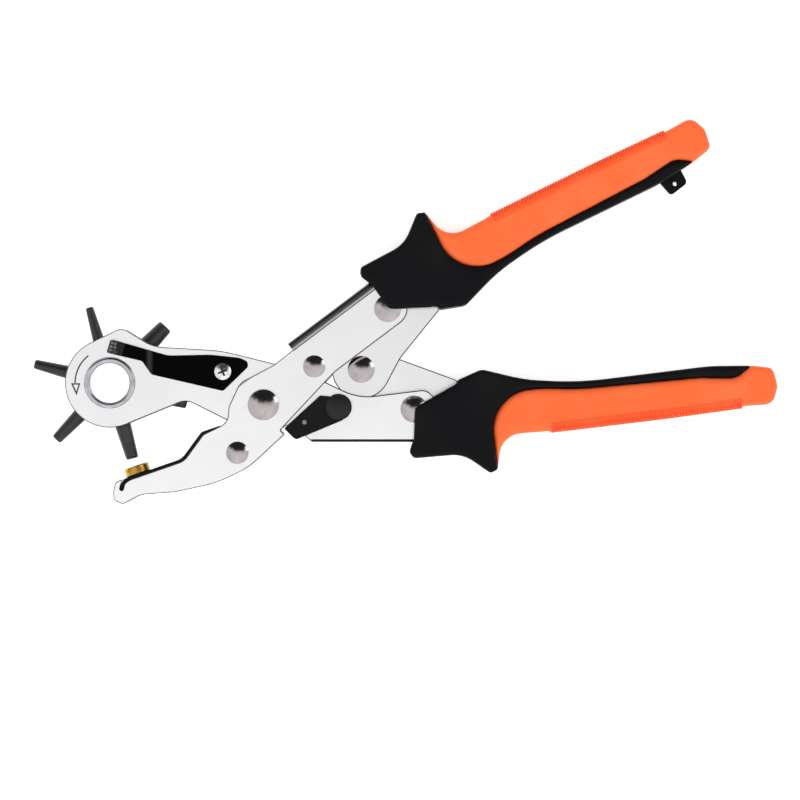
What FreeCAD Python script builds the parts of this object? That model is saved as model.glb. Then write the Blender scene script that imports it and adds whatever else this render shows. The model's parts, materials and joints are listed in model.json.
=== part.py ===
import FreeCAD, Part
import math
import os

# Rotary hole punch with compound-lever handles, lying flat.
# Design frame: origin on the main pivot, mid-plane of the tool at z = 0, +X towards the
# handles, +Z out of the front face.  write_parts moves it so that the origin is the bottom
# centre of the bounding box.  Sizes are in millimetres and angles in degrees.

# ---- plates and the air between them ----
SHEET = 1.8                  # jaw and handle plates
LAYER_GAP = 0.15             # between plates that slide past each other
RUNNING_FIT = 0.05           # radial play of a rivet in the plate that turns on it
HEAD_PLAY = 0.10             # under a rivet head that turns over a plate
EDGE_BREAK = 0.35            # chamfer round the outer faces of the plates

# ---- turret and hub ----
TURRET_WIDTH = 8.0
TURRET_RADIUS = 15.0
TURRET_PLAY = 0.2            # between the turret and each head plate
HUB_BORE = 6.9               # radius of the open hole through the hub
HUB_WALL = 0.8
HUB_FIT = 0.08               # radial play of the turret on the hub
HUB_FLANGE = 9.0
FLANGE_HEIGHT = 0.9
HEAD_RADIUS = 15.6

# ---- punch tubes: bore diameter, clockwise from the working position ----
PUNCH_SIZES = (3.5, 3.0, 2.5, 2.0, 4.5, 4.0)
PUNCH_BEARING = -74.0        # direction of the working tube from the turret axis
TIP_RADIUS = 27.5            # turret axis to the cutting edges
EDGE_WALL = 0.12             # wall at the cutting edge
TIP_WALL = 0.42              # wall where the cutting bevel starts
ROOT_WALL = 1.12             # wall at the shoulder
TIP_BEVEL = 0.6              # length of the cutting bevel
SHOULDER_RADIUS = 14.4       # where the tube's shoulder seats in the turret
SHANK_RADIUS = 2.75
SHANK_DEPTH = 4.6
SLUG_SLOT = (17.5, 22.0)     # start and end of the slug window in the back of a tube

# ---- pivots ----
HUB_REACH = 54.2             # main pivot to turret axis
HUB_BEARING = 171.87
UPPER_REACH = 54.7           # main pivot to upper link rivet
UPPER_BEARING = 37.79
LOWER_REACH = 52.45          # main pivot to lower link rivet
LOWER_BEARING = -1.6
LAP_REACH = 23.06            # each link rivet to the lap rivet that joins the handles
PIVOT_SHANK = 3.0            # main pivot rivet
PIVOT_HEAD = 5.4
PIVOT_HEAD_HEIGHT = 3.0
PIVOT_RIM = 1.6              # upright part of the main pivot's heads
LINK_SHANK = 2.6             # link and lap rivets
LINK_HEAD = 4.7
LINK_HEAD_HEIGHT = 1.4
LAP_HEAD_HEIGHT = 1.6
LOWER_HEAD_HEIGHT = 1.9
SMALL_SHANK = 2.0            # rivets that only hold the jaw's two sides
SMALL_HEAD = 3.9
SMALL_HEAD_HEIGHT = 1.4
LAP_CLEARANCE = 0.40         # open pivot: hole in the lower bar round the lap rivet

# ---- jaws ----
CLOSE_ANGLE = 3.15           # the anvil jaw turns this far to bring the anvil to the tube
ANVIL_RADIUS = 4.3
ANVIL_HEIGHT = 3.0
ANVIL_STEM = 2.0
BAR_PROUD = 1.0              # anvil bar above the jaw plates' inner edge
TAIL_BEARING = 36.87         # the anvil jaw's straight tail
TAIL_TOP = 8.33              # upper link rivet to the tail's fold line
TAIL_BOSS = 6.6
FOLD_RADIUS = 2.8            # outer radius of the anvil jaw's fold
HEAD_FOLD = 1.2              # outer radius of the head's tight fold
TAIL_DROP = 11.48            # lower link rivet to the head tail's folded edge
HEAD_BOSS = 10.5

# ---- handles ----
UPPER_GRIP_BEARING = 28.05
LOWER_GRIP_BEARING = 4.95
LOBE_RADIUS = 10.26          # upper handle plates round the lap rivet
BAR_LOBE = 8.0               # lower handle bar round the lap rivet
TANG_BOSS = 7.0
TANG_LENGTH = 46.0
CHEEK_WALL = 1.4
GRIP_LENGTH = 126.9
STRIP_HALF = 9.0             # half thickness of the black strip along the grip
COVER_HALF = 10.0            # half thickness of the soft cover
CORE_HALF = 6.5              # half thickness of the core inside the cover
GRIP_ROUND = 1.0
SHROUD_ROUND = 1.5
TAB_HALF = 2.0               # half thickness of the hanging eye
TAB_HOLE = 0.75
TAB_EDGE = 0.3

# ---- index spring, screw and latch ----
SPRING_SHEET = 0.8
SPRING_LIFT = 1.3            # the arm stands this far above the screwed-down end
SCREW_RADIUS = 2.9
SCREW_SHANK = 1.6
SCREW_HEAD_HEIGHT = 1.4
STANDOFF_RADIUS = 3.2
PAD_HEIGHT = 0.8
KNURL_PITCH = 1.3
KNURL_GROOVE = 0.4
KNURL_DEPTH = 0.35
KNURL_BEARING = -16.0
DETENT_RADIUS = 12.7         # turret axis to the index pin
PIN_RADIUS = 1.0
PIN_PLAY = 0.25
DIMPLE_DEPTH = 1.9
LATCH_GAP = 0.15
LATCH_THICK = 2.2
LATCH_BOSS = 4.6
LATCH_PIN = 1.8

# ---- opening spring ----
WIRE_RADIUS = 0.75
COIL_RADIUS = 5.4
COIL_PITCH = 1.65
COIL_TURNS = 3
LONG_LEG = 41.1              # bearing of the leg on the stop rivet
SHORT_LEG = -35.0            # bearing of the leg on the head's fold

# ---- layers, as distances from the mid-plane ----
TURRET_HALF = TURRET_WIDTH / 2
HEAD_INNER = TURRET_HALF + TURRET_PLAY
HEAD_OUTER = HEAD_INNER + SHEET
JAW_INNER = HEAD_OUTER + LAYER_GAP
JAW_OUTER = JAW_INNER + SHEET
YOKE_OUTER = HEAD_INNER - LAYER_GAP
YOKE_INNER = YOKE_OUTER - SHEET
BAR_HALF = YOKE_INNER - LAYER_GAP
CHEEK_INNER = JAW_OUTER + HEAD_PLAY + LINK_HEAD_HEIGHT + LAYER_GAP
GRIP_HALF = CHEEK_INNER + CHEEK_WALL
BEYOND = 40.0                # longer than anything it cuts through


# ---- plane geometry ----
def polar(radius, bearing, centre=(0.0, 0.0)):
    """Point at a distance and bearing from a centre."""
    turn = math.radians(bearing)
    return (centre[0] + radius * math.cos(turn), centre[1] + radius * math.sin(turn))


def seat(points, origin, bearing=0.0, side=1):
    """Corners (along, across, radius) in a seated frame, as corners in the design frame."""
    cos = math.cos(math.radians(bearing))
    sin = math.sin(math.radians(bearing))
    seated = []
    for along, across, radius in points:
        x = origin[0] + along * cos - side * across * sin
        y = origin[1] + along * sin + side * across * cos
        seated.append((x, y, radius))
    return seated


def lap_point():
    """Where circles of LAP_REACH about the two link rivets meet, nearer the main pivot."""
    span = math.dist(UPPER_LINK, LOWER_LINK)
    middle = ((UPPER_LINK[0] + LOWER_LINK[0]) / 2, (UPPER_LINK[1] + LOWER_LINK[1]) / 2)
    rise = math.sqrt(LAP_REACH ** 2 - (span / 2) ** 2)
    across = math.degrees(math.atan2(UPPER_LINK[1] - LOWER_LINK[1], UPPER_LINK[0] - LOWER_LINK[0]))
    return polar(rise, across + 90, middle)


MAIN = (0.0, 0.0)
HUB = polar(HUB_REACH, HUB_BEARING)
UPPER_LINK = polar(UPPER_REACH, UPPER_BEARING)
LOWER_LINK = polar(LOWER_REACH, LOWER_BEARING)
LAP = lap_point()
SCREW = (-14.18, 11.62)
LATCH = (26.1, -0.75)
JAW_RIVET = (-9.07, -16.66)
STOP_RIVET = (17.68, 13.37)
CLOSED_ANVIL = polar(TIP_RADIUS + ANVIL_HEIGHT, PUNCH_BEARING, HUB)
ANVIL_SEAT = polar(math.hypot(*CLOSED_ANVIL),
                   math.degrees(math.atan2(CLOSED_ANVIL[1], CLOSED_ANVIL[0])) + CLOSE_ANGLE)
ANVIL_BEARING = PUNCH_BEARING + 90 + CLOSE_ANGLE
INDEX_PIN = polar(DETENT_RADIUS, PUNCH_BEARING + 150, HUB)
TAB_EYE = seat([(109.2, -8.6, 0)], UPPER_LINK, UPPER_GRIP_BEARING)[0][:2]


# ---- solids ----
def vec(x, y, z=0.0):
    return FreeCAD.Vector(x, y, z)


def outline(corners):
    """Closed wire through corners (x, y, radius), each corner rounded to its radius."""
    count = len(corners)
    ends = []
    for i in range(count):
        here = vec(corners[i][0], corners[i][1])
        back = vec(*corners[i - 1][:2]) - here
        ahead = vec(*corners[(i + 1) % count][:2]) - here
        radius = corners[i][2]
        half = back.getAngle(ahead) / 2
        if radius == 0 or half > math.radians(89.9):
            ends.append((here, None, here))
            continue
        back.normalize()
        ahead.normalize()
        reach = radius / math.tan(half)
        inward = back + ahead
        inward.normalize()
        middle = here + inward * (radius / math.sin(half) - radius)
        ends.append((here + back * reach, middle, here + ahead * reach))
    edges = []
    for i in range(count):
        start, middle, end = ends[i]
        if middle is not None:
            edges.append(Part.Arc(start, middle, end).toShape())
        following = ends[(i + 1) % count][0]
        if end.distanceToPoint(following) > 1e-6:
            edges.append(Part.LineSegment(end, following).toShape())
    return Part.Wire(edges)


def slab(corners, low, high):
    """Prism between two heights on a rounded outline."""
    prism = Part.Face(outline(corners)).extrude(vec(0, 0, high - low))
    prism.translate(vec(0, 0, low))
    return prism


def disc(centre, radius, low, high):
    return Part.makeCylinder(radius, high - low, vec(centre[0], centre[1], low))


def through(centre, radius):
    """Cutter for a hole right through the tool."""
    return disc(centre, radius, -BEYOND, BEYOND)


def link(first, first_radius, second, second_radius, low, high):
    """Plate that wraps two bosses with straight sides."""
    span = math.dist(first, second)
    heading = math.degrees(math.atan2(second[1] - first[1], second[0] - first[0]))
    lean = math.degrees(math.acos((first_radius - second_radius) / span))
    corners = [polar(first_radius, heading + lean, first),
               polar(first_radius, heading - lean, first),
               polar(second_radius, heading - lean, second),
               polar(second_radius, heading + lean, second)]
    web = slab([(x, y, 0) for x, y in corners], low, high)
    return join([web, disc(first, first_radius, low, high), disc(second, second_radius, low, high)])


def join(shapes):
    return shapes[0].fuse(shapes[1:]).removeSplitter()


def flipped(shape):
    """The same shape on the other side of the mid-plane."""
    return shape.mirror(vec(0, 0, 0), vec(0, 0, 1))


def both(shape):
    return [shape, flipped(shape)]


def break_edges(shape, height, size):
    """Chamfer the edges that lie flat at a height."""
    level = [e for e in shape.Edges if abs(e.BoundBox.ZMin - height) < 1e-4
             and abs(e.BoundBox.ZMax - height) < 1e-4]
    return shape.makeChamfer(size, level)


def round_edges(shape, height, size):
    """Round the edges that lie flat at a height."""
    level = [e for e in shape.Edges if abs(e.BoundBox.ZMin - height) < 1e-4
             and abs(e.BoundBox.ZMax - height) < 1e-4]
    return shape.makeFillet(size, level)


def dome(centre, radius, base, height, rim=0.4):
    """Low domed rivet head with a short upright rim, standing on a height."""
    rise = height - rim
    ball = (radius ** 2 + rise ** 2) / (2 * rise)
    cap = Part.makeSphere(ball, vec(centre[0], centre[1], base + height - ball))
    keep = disc(centre, radius, base, base + height)
    skirt = disc(centre, radius, base, base + rim)
    return join([skirt, cap.common(disc(centre, radius, base + rim, base + height))]).common(keep)


def rivet(centre, shank, head, base, height, rim=0.4):
    """Rivet with a dome on each side; base is the underside of the heads."""
    return join([disc(centre, shank, -base, base)] + both(dome(centre, head, base, height, rim)))


def ring(centre, inner, outer, low, high):
    return disc(centre, outer, low, high).cut(disc(centre, inner, low - 1, high + 1))


# ---- head: the fixed jaw that carries the turret ----
def head_corners():
    """Head side plate from the turret disc along the top to the tail and back below."""
    top = seat([(-7.4, 13.7, 0), (4.3, 19.4, 4.5), (15.0, 12.7, 14)], HUB)
    shoulder = [(-14.8, 19.0, 45), (9.2, 13.0, 3), (12.8, 8.2, 3), (21.0, 8.2, 2),
                (33.0, 2.4, 20)]
    tail = seat([(4.2, 6.8, 4), (7.5, 3.6, 4), (7.5, -TAIL_DROP, 3)], LOWER_LINK)
    belly = [(16.9, LOWER_LINK[1] - TAIL_DROP, 0.5), (14.6, -11.1, 0.5), (9.5, -7.5, 1.5),
             (0.0, -6.0, 0)]
    tangent = polar(HEAD_BOSS, -116.5)
    throat = seat([(26.65, -5.9, 6), (6.5, -14.15, 0)], HUB)
    return top + shoulder + tail + belly + [(tangent[0], tangent[1], 0)] + throat


def head_fold():
    """Folded edge that joins the head's two plates along the bottom of the tail."""
    low = LOWER_LINK[1] - TAIL_DROP
    start = 16.9
    end = LOWER_LINK[0] + 4.4
    section = [(low, -HEAD_OUTER, HEAD_FOLD), (low + SHEET, -HEAD_OUTER, 0),
               (low + SHEET, HEAD_OUTER, 0), (low, HEAD_OUTER, HEAD_FOLD)]
    prism = Part.Face(outline(section)).extrude(vec(0, 0, end - start))
    # The section is drawn as (y, z) and stood up so that it runs along x.
    return prism.transformGeometry(FreeCAD.Matrix(0, 0, 1, start, 1, 0, 0, 0, 0, 1, 0, 0, 0, 0, 0, 1))


def direction_arrow():
    """Shallow engraved arc with an open arrowhead that shows which way the turret turns."""
    depth = 0.15
    radius = 12.05
    line = 0.5
    low = HEAD_OUTER - depth
    arc = ring(HUB, radius - line / 2, radius + line / 2, low, HEAD_OUTER + 1)
    wedge = [(HUB[0], HUB[1], 0)] + [(*polar(30, b, HUB), 0) for b in (128, 145, 163, 180)]
    shaft = arc.common(slab(wedge, low - 1, HEAD_OUTER + 2))
    outer = seat([(-13.5, -0.1, 0), (-10.2, -0.1, 0), (-11.55, -4.4, 0)], HUB)
    inner = seat([(-12.7, -0.6, 0), (-10.9, -0.6, 0), (-11.6, -2.9, 0)], HUB)
    head = slab(outer, low, HEAD_OUTER + 1).cut(slab(inner, low - 1, HEAD_OUTER + 2))
    return [shaft, head]


def turret_jaw_frame():
    """One folded sheet: two side plates joined along the bottom of the tail."""
    side = join([slab(head_corners(), HEAD_INNER, HEAD_OUTER),
                 disc(HUB, HEAD_RADIUS, HEAD_INNER, HEAD_OUTER),
                 disc(MAIN, HEAD_BOSS, HEAD_INNER, HEAD_OUTER)])
    side = side.cut([through(HUB, HUB_BORE + HUB_WALL),
                     through(MAIN, PIVOT_SHANK + RUNNING_FIT),
                     through(LOWER_LINK, LINK_SHANK + RUNNING_FIT)])
    low = LOWER_LINK[1] - TAIL_DROP
    end = LOWER_LINK[0] + 4.4
    clear = slab([(16.9, low - 1, 0), (end, low - 1, 0), (end, low + HEAD_FOLD, 0),
                  (16.9, low + HEAD_FOLD, 0)], 0, BEYOND)
    side = break_edges(side, HEAD_OUTER, EDGE_BREAK).cut(clear)
    front = side.cut([disc(SCREW, SCREW_SHANK, 0, BEYOND), disc(LATCH, LATCH_PIN, 0, BEYOND),
                      disc(INDEX_PIN, PIN_RADIUS + PIN_PLAY, 0, BEYOND)] + direction_arrow())
    rear = flipped(side).cut(disc(SCREW, SCREW_SHANK + 0.6, -BEYOND, 0))
    return join([front, rear, head_fold()])


def hub_eyelet():
    """Hollow rivet the turret turns on, with a rolled flange on each side."""
    roll = FLANGE_HEIGHT - 0.08
    top = HEAD_OUTER + FLANGE_HEIGHT
    wall = HUB_BORE + HUB_WALL
    section = [(HUB_BORE, -top, roll), (HUB_FLANGE, -top, roll), (HUB_FLANGE, -HEAD_OUTER, 0),
               (wall, -HEAD_OUTER, 0), (wall, HEAD_OUTER, 0), (HUB_FLANGE, HEAD_OUTER, 0),
               (HUB_FLANGE, top, roll), (HUB_BORE, top, roll)]
    face = Part.Face(outline(section))
    face.rotate(vec(0, 0, 0), vec(1, 0, 0), 90)
    eyelet = face.revolve(vec(0, 0, 0), vec(0, 0, 1), 360)
    eyelet.translate(vec(*HUB))
    return eyelet


def index_spring():
    """Leaf spring: screwed flat at one end, then stepped up to a springy arm over the turret."""
    plan = (seat([(0.5, 15.2, 0.8), (-0.9, 10.5, 0.6), (11.4, 7.6, 2), (14.6, 2.9, 2)], HUB)
            + seat([(0.1, -6.8, 1.5), (10.1, 2.9, 1.8), (5.7, 4.8, 6), (-4.5, 5.9, 30)], SCREW)
            + seat([(20.5, 9.5, 12)], HUB))
    flat = HEAD_OUTER
    left = HUB[0] - 3
    right = SCREW[0] + 14
    step = (HUB[0] + 11.8, HUB[0] + 15.6)
    profile = [(left, flat + SPRING_LIFT, 0), (step[0], flat + SPRING_LIFT, 1.2), (step[1], flat, 1.2),
               (right, flat, 0), (right, flat + SPRING_SHEET, 0), (step[1] + 0.3, flat + SPRING_SHEET, 1.2),
               (step[0] + 0.3, flat + SPRING_LIFT + SPRING_SHEET, 1.2),
               (left, flat + SPRING_LIFT + SPRING_SHEET, 0)]
    sheet = Part.Face(outline(profile))
    sheet.rotate(vec(0, 0, 0), vec(1, 0, 0), 90)
    sheet = sheet.extrude(vec(0, BEYOND, 0))
    leaf = sheet.common(slab(plan, 0, BEYOND))
    return leaf.cut([through(SCREW, SCREW_SHANK), through(INDEX_PIN, PIN_RADIUS)])


def index_screw():
    """Pan-head screw with a cross recess."""
    seat_height = HEAD_OUTER + SPRING_SHEET
    head = dome(SCREW, SCREW_RADIUS, seat_height, SCREW_HEAD_HEIGHT, 0.7)
    recess = []
    for width, length in ((0.7, 3.4), (3.4, 0.7)):
        blade = Part.makeBox(width, length, 2, vec(-width / 2, -length / 2, 0))
        blade.rotate(vec(0, 0, 0), vec(0, 0, 1), 20)
        blade.translate(vec(SCREW[0], SCREW[1], seat_height + SCREW_HEAD_HEIGHT - 0.8))
        recess.append(blade)
    return join([head.cut(recess), disc(SCREW, SCREW_SHANK, -HEAD_INNER + 2, seat_height)])


def head_standoff():
    """Tapped post between the head plates, peened over behind the rear one."""
    post = disc(SCREW, STANDOFF_RADIUS, -HEAD_INNER, HEAD_INNER).cut(
        disc(SCREW, SCREW_SHANK, -HEAD_INNER + 2, BEYOND))
    spigot = disc(SCREW, SCREW_SHANK + 0.6, -HEAD_OUTER, -HEAD_INNER)
    peen = flipped(dome(SCREW, SCREW_SHANK + 1.3, HEAD_OUTER, 0.7, 0.25))
    return join([post, spigot, peen])


def pivot_sleeve():
    """Bush between the head plates that the opening spring winds round."""
    outer = COIL_RADIUS - WIRE_RADIUS - 0.25
    return ring(MAIN, PIVOT_SHANK + RUNNING_FIT, outer, -HEAD_INNER, HEAD_INNER)


def opening_spring():
    """Torsion spring: coils round the sleeve, one leg on the stop rivet, one on the head's fold."""
    start = SHORT_LEG + 90
    sweep = (LONG_LEG - 90 - start) % 360 + 360 * COIL_TURNS
    height = COIL_PITCH * sweep / 360
    helix = Part.makeHelix(COIL_PITCH, height, COIL_RADIUS)
    helix.rotate(vec(0, 0, 0), vec(0, 0, 1), start)
    helix.translate(vec(0, 0, -height / 2))
    first = vec(*polar(COIL_RADIUS, start), -height / 2)
    last = vec(*polar(COIL_RADIUS, LONG_LEG - 90), height / 2)
    inward = vec(*polar(1, start + 90))
    ring_face = Part.Wire(Part.makeCircle(WIRE_RADIUS, first, inward))
    coil = Part.Wire(helix.Edges).makePipeShell([ring_face], True, True)
    short = Part.makeCylinder(WIRE_RADIUS, 25.3, first, vec(*polar(1, SHORT_LEG)))
    long = Part.makeCylinder(WIRE_RADIUS, 23.0, last, vec(*polar(1, LONG_LEG)))
    return join([coil, short, long])


def latch_pin():
    """Pin riveted in the front plate, with the broad low head that holds the latch."""
    base = latch_top() + LATCH_GAP / 2
    shank = disc(LATCH, LATCH_PIN, HEAD_INNER, base)
    return join([shank, dome(LATCH, LATCH_BOSS - 0.25, base, 0.9, 0.3)])


def latch_top():
    return HEAD_OUTER + LATCH_GAP + LATCH_THICK


# ---- turret ----
def turret_wheel():
    """Drum with six threaded sockets and six index dimples."""
    drum = disc(HUB, TURRET_RADIUS, -TURRET_HALF, TURRET_HALF)
    drum = break_edges(break_edges(drum, TURRET_HALF, 0.5), -TURRET_HALF, 0.5)
    cuts = [through(HUB, HUB_BORE + HUB_WALL + HUB_FIT)]
    for i in range(len(PUNCH_SIZES)):
        bearing = PUNCH_BEARING - 60 * i
        cuts.append(tube_shape(bearing, 0, SHANK_RADIUS, SHANK_RADIUS, SHOULDER_RADIUS - SHANK_DEPTH,
                               TURRET_RADIUS + 1))
        cuts.append(tube_shape(bearing, 0, 3.9, 3.9, SHOULDER_RADIUS, TURRET_RADIUS + 1))
        dimple = polar(DETENT_RADIUS, bearing + 30, HUB)
        cuts.append(disc(dimple, PIN_RADIUS + 0.2, TURRET_HALF - DIMPLE_DEPTH, TURRET_HALF))
    return drum.cut(cuts)


def tube_shape(bearing, inner, near, far, start, end):
    """Cone or cylinder standing out from the turret axis, from one radius to another."""
    out = vec(*polar(1, bearing))
    foot = vec(*polar(start, bearing, HUB))
    if near == far:
        body = Part.makeCylinder(near, end - start, foot, out)
    else:
        body = Part.makeCone(near, far, end - start, foot, out)
    if inner > 0:
        body = body.cut(Part.makeCylinder(inner, end - start + 2, foot - out, out))
    return body


def punch_tube(size, bearing):
    """Tapered hollow punch that screws into the turret, with a slug window in its back."""
    bore = size / 2
    bevel = TIP_RADIUS - TIP_BEVEL
    foot = SHOULDER_RADIUS - SHANK_DEPTH
    shank = tube_shape(bearing, 0, SHANK_RADIUS, SHANK_RADIUS, foot, SHOULDER_RADIUS)
    body = tube_shape(bearing, 0, bore + ROOT_WALL, bore + TIP_WALL, SHOULDER_RADIUS, bevel)
    edge = tube_shape(bearing, 0, bore + TIP_WALL, bore + EDGE_WALL, bevel, TIP_RADIUS)
    bore_cut = tube_shape(bearing, 0, bore, bore, SLUG_SLOT[0], TIP_RADIUS + 1)
    window = Part.makeBox(SLUG_SLOT[1] - SLUG_SLOT[0], size * 0.8, 6, vec(SLUG_SLOT[0], -size * 0.4, -6))
    window.rotate(vec(0, 0, 0), vec(0, 0, 1), bearing)
    window.translate(vec(*HUB))
    return join([shank, body, edge]).cut([bore_cut, window])


# ---- index catch: lifts off the turret ----
def index_pad():
    """Knurled thumb pad on the free end of the index spring."""
    low = HEAD_OUTER + SPRING_LIFT + SPRING_SHEET
    high = low + PAD_HEIGHT
    corners = seat([(0.5, 15.2, 0.8), (-0.9, 10.5, 0.6), (4.3, 9.3, 0.6), (5.6, 13.6, 0.6)], HUB)
    pad = slab(corners, low, high)
    grooves = []
    for i in range(5):
        along = -0.35 + KNURL_PITCH * i
        across = 9.4 + KNURL_PITCH * i
        grooves.append(Part.makeBox(KNURL_GROOVE, 12, 1, vec(along, 6, high - KNURL_DEPTH)))
        grooves.append(Part.makeBox(12, KNURL_GROOVE, 1, vec(-4, across, high - KNURL_DEPTH)))
    for groove in grooves:
        groove.rotate(vec(0, 12, 0), vec(0, 0, 1), KNURL_BEARING)
        groove.translate(vec(*HUB))
    return pad.cut(grooves)


def index_pin():
    """Detent pin, with a rounded nose just clear of the turret's face."""
    nose = TURRET_HALF + LAYER_GAP
    top = HEAD_OUTER + SPRING_LIFT + SPRING_SHEET
    pin = disc(INDEX_PIN, PIN_RADIUS, nose, top)
    return round_edges(pin, nose, 0.4)


# ---- anvil jaw ----
def jaw_corners():
    """Anvil jaw side plate, from the nose along the back to the tail and round the inside."""
    nose = seat([(-4.6, -BAR_PROUD, 0), (-6.1, 0.1, 0.5), (-8.2, -0.3, 1.0), (-9.9, -3.0, 2.0),
                 (-10.7, -5.9, 2.0), (-8.2, -8.4, 2.2), (-1.0, -7.2, 10)], ANVIL_SEAT, ANVIL_BEARING)
    back = [(-30.5, -30.4, 25), (-16.0, -27.2, 40), (-5.0, -21.8, 25)]
    shoulder = [(7.38, -10.22, 0.5), (5.85, -8.85, 0.5)]
    elbow = [(24.94, 11.56, 15)]
    tail = seat([(TAIL_BOSS, -TAIL_BOSS, 6), (TAIL_BOSS, TAIL_TOP, 0), (-35.15, TAIL_TOP, 0)],
                UPPER_LINK, TAIL_BEARING)
    inside = [(3.6, 13.9, 6), (-8.3, 7.6, 6), (-12.2, -0.8, 5), (-12.4, -6.1, 5), (-21.0, -10.3, 2)]
    throat = seat([(16.9, -BAR_PROUD, 6)], ANVIL_SEAT, ANVIL_BEARING)
    return nose + back + shoulder + elbow + tail + inside + throat


def jaw_relief():
    """Curved relief slot in the jaw's nose, which shows the end of the anvil bar."""
    corners = seat([(-3.5, 0.8, 0), (-6.2, -0.6, 1.5), (-8.0, -3.4, 0.8), (-6.4, -4.1, 0.8),
                    (-5.0, -1.95, 1.5), (-2.0, -0.95, 0)], ANVIL_SEAT, ANVIL_BEARING)
    return slab(corners, -BEYOND, BEYOND)


def jaw_fold():
    """Rounded fold that joins the anvil jaw's two plates along the top of the tail."""
    start = -35.15
    length = TAIL_BOSS - start
    outer = [(0, -JAW_OUTER, 0), (FOLD_RADIUS, -JAW_OUTER, FOLD_RADIUS - 0.01),
             (FOLD_RADIUS, JAW_OUTER, FOLD_RADIUS - 0.01), (0, JAW_OUTER, 0)]
    bend = FOLD_RADIUS - SHEET
    inner = [(-1, -JAW_INNER, 0), (bend, -JAW_INNER, bend - 0.01), (bend, JAW_INNER, bend - 0.01),
             (-1, JAW_INNER, 0)]
    section = Part.Face(outline(outer)).cut(Part.Face(outline(inner)))
    prism = section.extrude(vec(0, 0, length))
    # The section is drawn as (across, z) and stood up so that it runs along x.
    prism = prism.transformGeometry(
        FreeCAD.Matrix(0, 0, 1, start, 1, 0, 0, TAIL_TOP, 0, 1, 0, 0, 0, 0, 0, 1))
    prism.rotate(vec(0, 0, 0), vec(0, 0, 1), TAIL_BEARING)
    prism.translate(vec(*UPPER_LINK))
    return prism


def anvil_jaw_frame():
    """One folded sheet: two side plates joined by the rounded fold along the tail."""
    plate = slab(jaw_corners(), JAW_INNER, JAW_OUTER)
    side = join([break_edges(plate, JAW_OUTER, EDGE_BREAK), plate.common(tail_edge_keeper())])
    side = side.cut([jaw_relief(), through(MAIN, PIVOT_SHANK), through(JAW_RIVET, SMALL_SHANK),
                     through(STOP_RIVET, SMALL_SHANK), through(UPPER_LINK, LINK_SHANK + RUNNING_FIT)])
    return join(both(side) + [jaw_fold()])


def tail_edge_keeper():
    """Strip along the fold line where the plate keeps its full thickness."""
    strip = seat([(-35.15, TAIL_TOP - 1, 0), (TAIL_BOSS, TAIL_TOP - 1, 0), (TAIL_BOSS, TAIL_TOP, 0),
                  (-35.15, TAIL_TOP, 0)], UPPER_LINK, TAIL_BEARING)
    return slab(strip, -BEYOND, BEYOND)


def anvil_bar():
    """Solid bar between the jaw plates that carries the anvil, proud of their inner edge."""
    mouth = seat([(16.4, 0.0, 6), (-4.6, 0.0, 1.5), (-8.6, -2.6, 1.2), (-8.5, -5.4, 1.2), (-1.5, -5.4, 8)],
                 ANVIL_SEAT, ANVIL_BEARING)
    back = [(-30.0, -28.2, 20), (-16.5, -25.2, 30), (-6.5, -20.6, 5), (-4.6, -16.0, 3), (-9.5, -11.5, 3),
            (-15.2, -7.2, 0.8), (-21.7, -9.4, 2)]
    bar = slab(mouth + back, -JAW_INNER, JAW_INNER)
    return bar.cut([through(JAW_RIVET, SMALL_SHANK), anvil_solid(ANVIL_STEM, -4.0, 0.0)])


def anvil_solid(radius, low, high):
    """Cylinder square to the anvil seat, between two heights above it."""
    up = vec(*polar(1, ANVIL_BEARING + 90))
    foot = vec(*ANVIL_SEAT) + up * low
    return Part.makeCylinder(radius, high - low, foot, up)


def anvil():
    """Soft brass pad on a stem pressed into the anvil bar."""
    pad = anvil_solid(ANVIL_RADIUS, 0.0, ANVIL_HEIGHT)
    pad = pad.makeChamfer(0.3, [e for e in pad.Edges if e.Closed])
    return join([pad, anvil_solid(ANVIL_STEM, -4.0, 0.1)])


# ---- handles ----
def lap_in_grip(origin, bearing, side):
    """Lap rivet in a handle's own frame."""
    along = math.radians(bearing)
    dx = LAP[0] - origin[0]
    dy = LAP[1] - origin[1]
    return (dx * math.cos(along) + dy * math.sin(along),
            side * (-dx * math.sin(along) + dy * math.cos(along)))


def handle_plate(origin, bearing, side, lobe, elbow, low, high):
    """Handle plate: bosses at both rivets, a web between them and a tang into the grip."""
    lap = lap_in_grip(origin, bearing, side)
    edge = polar(lobe, -54 if elbow else -65, lap)
    inner = [(edge[0], edge[1], 0)] + ([(-4.2, -17.3, 15)] if elbow else [])
    web = [(lap[0], lap[1], 0)] + inner + [(15.6, -8.9, 1.5), (18.0, -5.0, 3), (TANG_LENGTH, -4.5, 2),
                                           (TANG_LENGTH, 4.5, 2), (12.0, 5.6, 10), (0.0, TANG_BOSS, 0),
                                           (-4.0, 0.0, 0)]
    arm = link(origin, TANG_BOSS, LAP, lobe, low, high)
    plate = join([arm, slab(seat(web, origin, bearing, side), low, high)])
    return plate.cut([through(origin, LINK_SHANK)])


def upper_plate():
    plate = handle_plate(UPPER_LINK, UPPER_GRIP_BEARING, 1, LOBE_RADIUS, True, YOKE_INNER, YOKE_OUTER)
    return break_edges(plate.cut(through(LAP, LINK_SHANK)), YOKE_OUTER, EDGE_BREAK)


def lower_bar():
    bar = handle_plate(LOWER_LINK, LOWER_GRIP_BEARING, -1, BAR_LOBE, False, -BAR_HALF, BAR_HALF)
    bar = bar.cut(through(LAP, LINK_SHANK + LAP_CLEARANCE))
    return break_edges(break_edges(bar, BAR_HALF, EDGE_BREAK), -BAR_HALF, EDGE_BREAK)


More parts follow.
